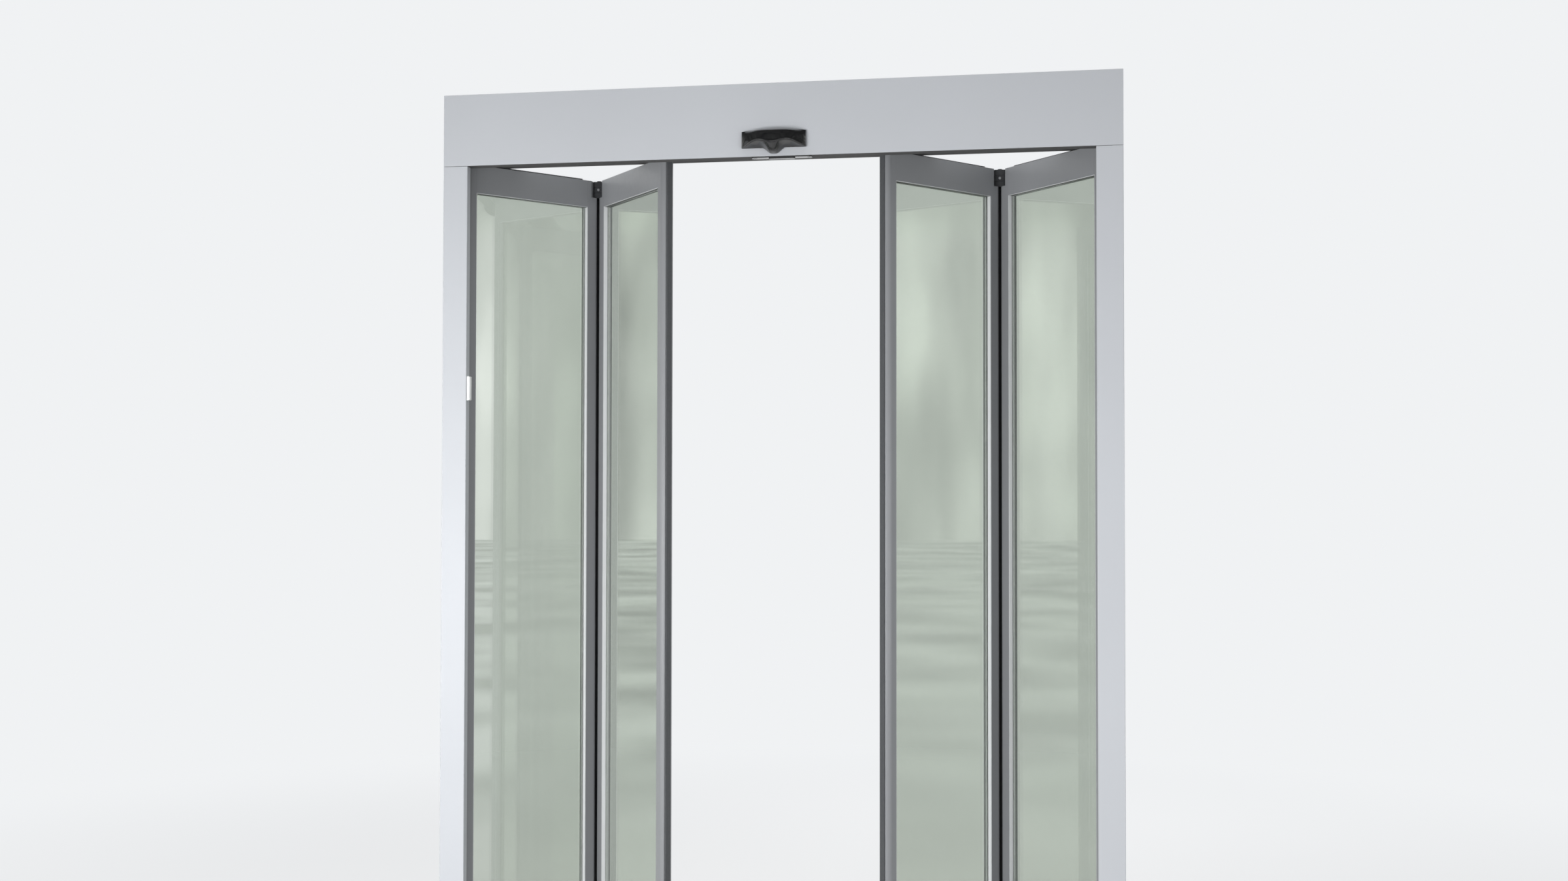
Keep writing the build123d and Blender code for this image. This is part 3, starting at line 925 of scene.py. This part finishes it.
@dataclass
class LeafPair(Assembly):
    """Two leaves that fold together on one side of the door."""

    side: Side
    leaves: tuple[str, ...] = ("pivot", "lead")
    profiles: tuple[str, ...] = ("stile", "hinge_stile", "top_rail", "bottom_rail")
    sealed: tuple[str, ...] = ("edge_rubber", "finger_guard")
    edge_radius: float = 0.5 * MM

    def build(self) -> None:
        """Dresses the pair's profiles, panes and rubber."""
        side = self.side.value
        for leaf in self.leaves:
            for profile in self.profiles:
                self.wardrobe.dress_node(f"{side}_{leaf}_{profile}", Slot.LEAF)
                self.wardrobe.ease_edges(f"{side}_{leaf}_{profile}", self.edge_radius)
            self.wardrobe.dress_node(f"{side}_{leaf}_glass", Slot.GLASS)
        for name in self.sealed:
            self.wardrobe.dress_node(f"{side}_{name}", Slot.RUBBER)
        self.wardrobe.dress_node(f"{side}_glazing_gaskets", Slot.GASKET)


@dataclass
class Hinges(Assembly):
    """The black hinges at the tops and bottoms of the folds, with their screws."""

    nodes: tuple[str, ...] = ("top_hinges", "bottom_hinges")
    block_width: float = 31.0 * MM
    block_height: float = 48.0 * MM
    screw: DomedScrew = DomedScrew()

    def build(self) -> None:
        """Dresses the hinges and adds one face screw to each."""
        screws = bmesh.new()
        for node in self.nodes:
            self.wardrobe.dress_node(node, Slot.HINGE)
            low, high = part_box(node)
            half = self.block_height / 2
            level = low.z + half if node == "top_hinges" else high.z - half
            for x in (low.x + self.block_width / 2, high.x - self.block_width / 2):
                self.screw.place(screws, Vector((x, low.y, level)), Vector((0, -1, 0)))
        self.wardrobe.add("hinge_screws", screws, Slot.STEEL)


@dataclass
class BrushStrips(Assembly):
    """The bristle strips above or below the four leaves, in place of their plain solids."""

    node: str
    rising: bool
    hinge_width: float = 31.0 * MM
    root_width: float = 8.0 * MM
    root_depth: float = 3.7 * MM
    root_wall: float = 0.8 * MM
    pile_width: float = 4.5 * MM
    row_count: int = 5
    pitch: float = 0.80 * MM
    scatter: float = 0.3
    bristle_radius: float = 0.42 * MM
    tip_taper: float = 0.6
    lean: float = 0.35 * MM
    side_lean: float = 0.4
    shortest: float = 0.3 * MM
    seed: int = 7

    def build(self) -> None:
        """Builds the roots and bristles of the four strips."""
        self.wardrobe.dress_node(self.node, Slot.BRUSH)
        low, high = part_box(self.node)
        rng = random.Random(self.seed)
        mesh = bmesh.new()
        for jamb, fold in zip((low.x, high.x), self._folds()):
            for outer in (jamb, 2 * fold - jamb):
                self._strip(mesh, *self._line(outer, fold), rng)
        piece = self.wardrobe.add(f"{self.node}_pile", mesh, Slot.BRUSH, smooth=False)
        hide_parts(self.node)

    def _folds(self) -> tuple[float, float]:
        """Where the left and the right fold line stand, across the door."""
        low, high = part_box("top_hinges")
        return low.x + self.hinge_width / 2, high.x - self.hinge_width / 2

    def _line(self, outer: float, fold: float) -> tuple[Vector, Vector]:
        """The ends of one strip's middle line.

        Args:
            outer: The strip's outermost place across the door, at the jamb or at the lead edge.
            fold: Its pair's fold line, across the door.

        Returns:
            The line's two ends on the floor plane.
        """
        low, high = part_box(self.node)
        pane_low, pane_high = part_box("left_pivot_glass")
        angle = math.atan((pane_high.y - pane_low.y) / (pane_high.x - pane_low.x))
        toward = 1.0 if fold > outer else -1.0
        direction = Vector((toward * math.cos(angle), math.sin(angle), 0.0))
        half = self.root_width / 2
        start = Vector((outer + toward * half * math.sin(angle), low.y + half * math.cos(angle), 0.0))
        length = (high.y - low.y - self.root_width * math.cos(angle)) / math.sin(angle)
        return start, start + direction * length

    def _strip(self, mesh: Mesh, start: Vector, end: Vector, rng: random.Random) -> None:
        """Adds one strip: a channel, and rows of leaning bristles.

        Args:
            mesh: The mesh that takes the strip.
            start: One end of its middle line.
            end: The other end.
            rng: The random source.
        """
        low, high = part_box(self.node)
        along = (end - start).normalized()
        across = Vector((-along.y, along.x, 0.0))
        up = Vector((0.0, 0.0, 1.0 if self.rising else -1.0))
        foot = start + Vector((0.0, 0.0, low.z if self.rising else high.z))
        half, slot = self.root_width / 2, self.pile_width / 2
        section = (
            (-half, 0.0), (half, 0.0), (half, self.root_depth), (slot, self.root_depth),
            (slot, self.root_wall), (-slot, self.root_wall), (-slot, self.root_depth),
            (-half, self.root_depth),
        )
        channel = [foot + across * side + up * rise for side, rise in section]
        self._prism(mesh, channel, [corner + end - start for corner in channel])
        corners = []
        for turn in (0.0, math.tau / 3, 2 * math.tau / 3):
            corners.append((along * math.cos(turn) + across * math.sin(turn)) * self.bristle_radius)
        spread = self.pile_width - 3 * self.bristle_radius
        for row in range(self.row_count):
            line = foot + across * (row / (self.row_count - 1) - 0.5) * spread
            for step in range(int((end - start).length / self.pitch)):
                at = line + along * ((step + 0.5 + self.scatter * rng.uniform(-1, 1)) * self.pitch)
                bend = along * rng.uniform(-self.lean, self.lean)
                bend += across * rng.uniform(-self.lean, self.lean) * self.side_lean
                height = high.z - low.z - rng.uniform(0.0, self.shortest)
                base, tip = at + up * self.root_wall, at + up * height + bend
                tips = [tip + corner * self.tip_taper for corner in corners]
                self._prism(mesh, [base + corner for corner in corners], tips)

    @staticmethod
    def _prism(mesh: Mesh, base: list[Vector], head: list[Vector]) -> None:
        """Adds a closed prism.

        Args:
            mesh: The mesh that takes it.
            base: The corners of its base, in order.
            head: The corners of its head, in the same order.
        """
        lower, upper = ([mesh.verts.new(corner) for corner in ring] for ring in (base, head))
        for index in range(len(base)):
            following = (index + 1) % len(base)
            mesh.faces.new((lower[index], lower[following], upper[following], upper[index]))
        mesh.faces.new(lower[::-1])
        mesh.faces.new(upper)


@dataclass
class HeelSeals(Assembly):
    """The rubber seals on the posts, at the leaves' round heels."""

    node: str = "heel_seals"

    def build(self) -> None:
        """Dresses the seals."""
        self.wardrobe.dress_node(self.node, Slot.RUBBER)


@dataclass
class MotionSensor(Assembly):
    """The gloss black housing on the header: two hollowed wings and a drooping nose.

    The crest is given in millimetres: how far each of its points is from the middle, above the
    lower edge, and proud of the header.
    """

    node: str = "motion_sensor"
    side_height: float = 44.0 * MM
    arch: float = 8.0 * MM
    edge: float = 5.0 * MM
    nose_half: float = 33.0 * MM
    nose_flat: float = 5.0 * MM
    nose_fullness: float = 0.8
    wing_hollow: float = 1.3
    crest_away: tuple[float, ...] = (0.0, 12.0, 24.0, 39.0, 50.0, 60.0, 70.0, 80.0, 86.5)
    crest_height: tuple[float, ...] = (12.0, 14.0, 17.5, 19.5, 18.0, 14.0, 9.5, 4.5, 2.0)
    crest_depth: tuple[float, ...] = (42.0, 41.0, 40.0, 38.0, 34.0, 28.0, 20.5, 12.0, 7.0)
    crest_band: float = 5.0 * MM
    crest_lean: float = 0.07
    band_start: float = 0.38
    band_end: float = 0.54
    brow_slope: float = 0.40
    brow_power: int = 9
    columns: int = 88
    rows: int = 60
    softening: int = 12

    def build(self) -> None:
        """Models the housing in place of its plain solid."""
        self.wardrobe.dress_node(self.node, Slot.SENSOR)
        low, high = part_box(self.node)
        mesh = bmesh.new()
        bmesh.ops.create_grid(mesh, x_segments=self.columns, y_segments=self.rows, size=1.0)
        for vert in mesh.verts:
            vert.co = self._skin(vert.co.x, (vert.co.y + 1.0) / 2, low, high)
        inner = [vert for vert in mesh.verts if not vert.is_boundary]
        for _ in range(self.softening):
            bmesh.ops.smooth_vert(
                mesh, verts=inner, factor=0.5, use_axis_x=True, use_axis_y=True, use_axis_z=True
            )
        rim = [edge for edge in mesh.edges if edge.is_boundary]
        back = bmesh.ops.extrude_edge_only(mesh, edges=rim)["geom"]
        for vert in (part for part in back if isinstance(part, bmesh.types.BMVert)):
            vert.co.y = high.y
        back_rim = [part for part in back if isinstance(part, bmesh.types.BMEdge)]
        bmesh.ops.contextual_create(mesh, geom=back_rim)
        piece = self.wardrobe.add("motion_sensor_housing", mesh, Slot.SENSOR)
        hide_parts(self.node)

    def _skin(self, across: float, rise: float, low: Vector, high: Vector) -> Vector:
        """Where a point of the housing's skin lies.

        Args:
            across: Its place across the housing, from -1 to 1.
            rise: Its place from the lower edge, 0, over the crest's band, to the upper edge, 1.
            low: The node's low corner.
            high: The node's high corner.

        Returns:
            The point.
        """
        half = (high.x - low.x) / 2
        away = abs(across) * half
        crest = np.interp(away / MM, self.crest_away, self.crest_height) * MM
        proud = np.interp(away / MM, self.crest_away, self.crest_depth) * MM - self.edge
        shoulder = min(max((away - self.nose_flat) / (self.nose_half - self.nose_flat), 0.0), 1.0)
        nose = 0.5 + 0.5 * math.cos(math.pi * shoulder)
        foot = high.z - self.arch - self.side_height
        lower = (low.z - foot) * nose
        band = min(self.crest_band, (crest - lower) / 2)
        if rise < self.band_start:
            share = rise / self.band_start
            height = lower + (crest - band - lower) * share
            bulge = share ** (self.wing_hollow - self.nose_fullness * nose)
            depth = (proud - self.crest_lean * band) * bulge
        elif rise < self.band_end:
            below = band * (self.band_end - rise) / (self.band_end - self.band_start)
            height = crest - below
            depth = proud - self.crest_lean * below
        else:
            share = (rise - self.band_end) / (1 - self.band_end)
            upper = self.side_height + self.arch * (1.0 - across**2)
            height = crest + (upper - crest) * share
            fall = self.brow_slope * share + (1.0 - self.brow_slope) * share**self.brow_power
            depth = proud * (1.0 - fall)
        return Vector(((low.x + high.x) / 2 + across * half, high.y - self.edge - depth, foot + height))


@dataclass
class Controls(Assembly):
    """The presence sensor and the switch."""

    plate_thickness: float = 2.0 * MM
    screw_spacing: float = 144.0 * MM
    screw: DomedScrew = DomedScrew(radius=4.5 * MM, height=1.6 * MM)

    def build(self) -> None:
        """Dresses the controls and adds the presence sensor's screws."""
        self.wardrobe.dress_node("presence_sensor", Slot.SENSOR)
        self.wardrobe.dress_node("jamb_switch", Slot.SWITCH)
        low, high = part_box("presence_sensor")
        screws = bmesh.new()
        middle = (low + high) / 2
        for offset in (-self.screw_spacing / 2, self.screw_spacing / 2):
            seat = Vector((middle.x + offset, middle.y, high.z - self.plate_thickness))
            self.screw.place(screws, seat, Vector((0, 0, -1)))
        self.wardrobe.add("presence_sensor_screws", screws, Slot.STEEL)


@dataclass(frozen=True)
class Softbox:
    """A soft rectangular lamp, placed from the point on the floor under the door's middle.

    The size is its width and height in metres, the power is in watts, and the spread is how wide
    its light fans out, in degrees.
    """

    name: str
    place: Triple
    target: Triple
    size: Span
    power: float
    spread: float = 180.0

    def light(self, middle: Vector) -> None:
        """Adds the lamp, hidden from every ray that would show it.

        Args:
            middle: The point on the floor under the door's middle.
        """
        data = bpy.data.lights.new(self.name, "AREA")
        data.spread = math.radians(self.spread)
        data.shape = "RECTANGLE"
        data.size, data.size_y = self.size
        data.energy = self.power
        lamp = bpy.data.objects.new(self.name, data)
        place, target = middle + Vector(self.place), middle + Vector(self.target)
        lamp.location = place
        lamp.rotation_euler = (target - place).to_track_quat("-Z", "Y").to_euler()
        lamp.visible_camera = False
        lamp.visible_glossy = False
        lamp.visible_transmission = False
        bpy.context.scene.collection.objects.link(lamp)


SOFTBOXES = (
    Softbox("front_softbox", (-1.9, -3.0, 1.15), (0.0, 0.0, 1.15), (3.0, 1.4), 65.0, 115.0),
    Softbox("right_softbox", (3.6, -2.6, 1.4), (0.0, 0.1, 1.0), (2.2, 1.8), 34.0, 120.0),
    Softbox("top_softbox", (0.0, 0.3, 5.4), (0.0, 0.3, 0.0), (4.5, 4.5), 60.0, 120.0),
    Softbox("back_softbox", (0.8, 4.8, 2.8), (0.0, 0.1, 1.2), (3.0, 3.0), 90.0),
    Softbox("left_softbox", (-4.6, 1.2, 2.4), (0.0, 0.1, 1.2), (2.4, 3.0), 40.0),
)


@dataclass(frozen=True)
class Haze:
    """A soft pattern of light and dark in what gloss mirrors."""

    stretch: Triple
    scale: float
    detail: float
    source: Span
    target: Span

    def level(self, bench: Bench, vector: Socket) -> Socket:
        """Places the pattern.

        Args:
            bench: The world's or the floor's bench.
            vector: The direction or place that the pattern follows.

        Returns:
            Its brightness's socket.
        """
        cloud = bench.noise(bench.stretched(vector, self.stretch), self.scale, self.detail)
        return bench.remap(cloud, self.source, self.target)


@dataclass
class Studio:
    """Pale floor, pale world and soft lamps.

    What gloss mirrors is given as (height, level) pairs: the upward part of the direction, with
    the straight down and the straight up first, and how bright the world is there.
    """

    pale: float = 0.90
    fill: float = 0.28
    tint: Colour = (0.97, 0.985, 1.0)
    mirrored_tint: Colour = (0.97, 1.0, 0.96)
    mirrored: tuple[Span, ...] = (
        (-1.0, 0.30), (1.0, 0.14), (-0.20, 0.60), (0.00, 1.60), (0.07, 4.20), (0.13, 1.60),
        (0.165, 0.25), (0.19, 2.40), (0.22, 2.40), (0.27, 0.20), (0.50, 0.14),
    )
    clouds: Haze = Haze((1.0, 1.0, 3.0), 2.6, 2.0, (0.32, 0.68), (0.45, 1.5))
    bands: Haze = Haze((1.0, 1.0, 0.22), 24.0, 2.5, (0.36, 0.64), (0.12, 1.7))
    patches: Haze = Haze((1.0, 1.0, 1.0), 0.55, 1.5, (0.36, 0.64), (0.25, 1.20))
    floor_radius: float = 40.0
    floor_sides: int = 96
    floor_colour: Colour = (0.84, 0.84, 0.84)
    bounced_colour: Colour = (0.30, 0.30, 0.30)
    floor_roughness: float = 0.9
    floor_glow: float = 0.26
    fade: Span = (0.4, 5.6)
    centre: Vector = field(default_factory=lambda: (cad_box[0] + cad_box[1]) / 2)

    def build(self) -> None:
        """Makes the world, the floor and the lamps."""
        self._world()
        self._floor()
        for softbox in SOFTBOXES:
            softbox.light(Vector((self.centre.x, 0.0, 0.0)))

    @staticmethod
    def _in_gloss(bench: Bench) -> Socket:
        """Whether a surface has already mirrored the ray."""
        return bench.maths("GREATER_THAN", bench.node("ShaderNodeLightPath").outputs["Glossy Depth"], 0.5)

    @staticmethod
    def _seen(bench: Bench) -> Socket:
        """Whether a ray shows the background: to the camera, or in metal or glass."""
        path = bench.node("ShaderNodeLightPath").outputs
        gloss = bench.maths("MAXIMUM", path["Is Glossy Ray"], path["Is Transmission Ray"])
        return bench.maths("MAXIMUM", path["Is Camera Ray"], gloss)

    def _world(self) -> None:
        """A pale world: plain behind the door, softly shaded where gloss mirrors it."""
        world = bpy.data.worlds.new("studio_world")
        bpy.context.scene.world = world
        world.use_nodes = True
        bench = Bench(world.node_tree)
        direction = bench.node("ShaderNodeTexCoord").outputs["Generated"]
        height = bench.plus(bench.times(bench.upward(direction), 0.5), 0.5)
        ramp = bench.node("ShaderNodeValToRGB", {"Fac": height})
        ramp.color_ramp.interpolation = "B_SPLINE"
        stops = ramp.color_ramp.elements
        for index, (rise, level) in enumerate(self.mirrored):
            spot = 0.5 + 0.5 * rise
            stop = stops[index] if index < 2 else stops.new(spot)
            stop.position = spot
            stop.color = (*(level * part for part in self.mirrored_tint), 1.0)
        shading = bench.times(self.clouds.level(bench, direction), self.bands.level(bench, direction))
        path = bench.node("ShaderNodeLightPath").outputs
        plain = bench.maths("MAXIMUM", path["Is Camera Ray"], path["Is Transmission Ray"])
        fill, pale = (tuple(level * part for part in self.tint) for level in (self.fill, self.pale))
        shown = bench.blend(plain, fill, pale)
        glossy = bench.scaled(ramp.outputs["Color"], shading)
        background = world.node_tree.nodes["Background"]
        bench.feed(background.inputs["Color"], bench.blend(self._in_gloss(bench), shown, glossy))

    def _floor(self) -> None:
        """A pale floor that takes the shadow and fades into the world."""
        mesh = bmesh.new()
        bmesh.ops.create_circle(mesh, cap_ends=True, segments=self.floor_sides, radius=self.floor_radius)
        data = bpy.data.meshes.new("studio_floor")
        mesh.to_mesh(data)
        mesh.free()
        middle = Vector((self.centre.x, self.centre.y, 0.0))
        data.transform(Matrix.Translation(middle))
        floor = bpy.data.objects.new("studio_floor", data)
        bpy.context.scene.collection.objects.link(floor)
        material = bpy.data.materials.new("pale_floor")
        material.use_nodes = True
        bench = Bench(material.node_tree)
        shader = material.node_tree.nodes["Principled BSDF"]
        bench.feed(shader.inputs["Roughness"], self.floor_roughness)
        bounced = bench.node("ShaderNodeLightPath").outputs["Is Diffuse Ray"]
        colour = bench.blend(bounced, self.floor_colour, self.bounced_colour)
        bench.feed(shader.inputs["Base Color"], colour)
        place = bench.node("ShaderNodeTexCoord").outputs["Object"]
        away = bench.node("ShaderNodeVectorMath", operation="DISTANCE")
        bench.feed(away.inputs[0], place)
        bench.feed(away.inputs[1], middle)
        fade = bench.remap(away.outputs["Value"], self.fade, (self.floor_glow, 1.0), eased=True)
        patchy = bench.maths("SUBTRACT", self.patches.level(bench, place), 1.0)
        level = bench.plus(1.0, bench.times(self._in_gloss(bench), patchy))
        glow = {"Color": self.tint, "Strength": bench.times(level, self.pale)}
        mixed = bench.node("ShaderNodeMixShader", {"Fac": bench.times(fade, self._seen(bench))})
        bench.feed(mixed.inputs[1], shader.outputs[0])
        bench.feed(mixed.inputs[2], bench.node("ShaderNodeEmission", glow).outputs[0])
        bench.feed(material.node_tree.nodes["Material Output"].inputs["Surface"], mixed.outputs[0])
        data.materials.append(material)


@dataclass
class Portrait:
    """The camera at the photograph's place. Its turns are in degrees, its lens in millimetres."""

    place: Triple = (1.7103, -4.4464, 1.6085)
    yaw: float = -9.957
    pitch: float = 1.332
    roll: float = -0.073
    lens: float = 38.714
    sensor_width: float = 36.0

    def build(self) -> None:
        """Makes the camera and hands it to the scene."""
        yaw, pitch, roll = (math.radians(angle) for angle in (self.yaw, self.pitch, self.roll))
        flat = math.cos(pitch)
        forward = Vector((math.sin(yaw) * flat, math.cos(yaw) * flat, math.sin(pitch)))
        level = Vector((math.cos(yaw), -math.sin(yaw), 0.0))
        down = forward.cross(level)
        right = level * math.cos(roll) + down * math.sin(roll)
        up = level * math.sin(roll) - down * math.cos(roll)
        data = bpy.data.cameras.new("portrait")
        data.lens = self.lens
        data.sensor_width = self.sensor_width
        data.sensor_fit = "HORIZONTAL"
        camera = bpy.data.objects.new("portrait", data)
        turn = Matrix((right, up, -forward)).transposed().to_4x4()
        camera.matrix_world = Matrix.Translation(Vector(self.place)) @ turn
        bpy.context.scene.collection.objects.link(camera)
        bpy.context.scene.camera = camera


def main() -> None:
    """Builds the door's sub-assemblies in order, then the camera and the studio."""
    logging.basicConfig(level=logging.INFO, format="%(message)s")
    bpy.context.scene.view_settings.view_transform = "Standard"
    wardrobe = Wardrobe()
    parts = [
        Covers(wardrobe),
        HeaderWorks(wardrobe),
        LeafPair(wardrobe, Side.LEFT),
        LeafPair(wardrobe, Side.RIGHT),
        Hinges(wardrobe),
        BrushStrips(wardrobe, "top_brushes", rising=True),
        BrushStrips(wardrobe, "bottom_brushes", rising=False),
        HeelSeals(wardrobe),
        MotionSensor(wardrobe),
        Controls(wardrobe),
    ]
    for part in parts:
        part.build()
        LOG.info("built %s", type(part).__name__)
    Portrait().build()
    Studio().build()


if __name__ == "__main__":
    main()
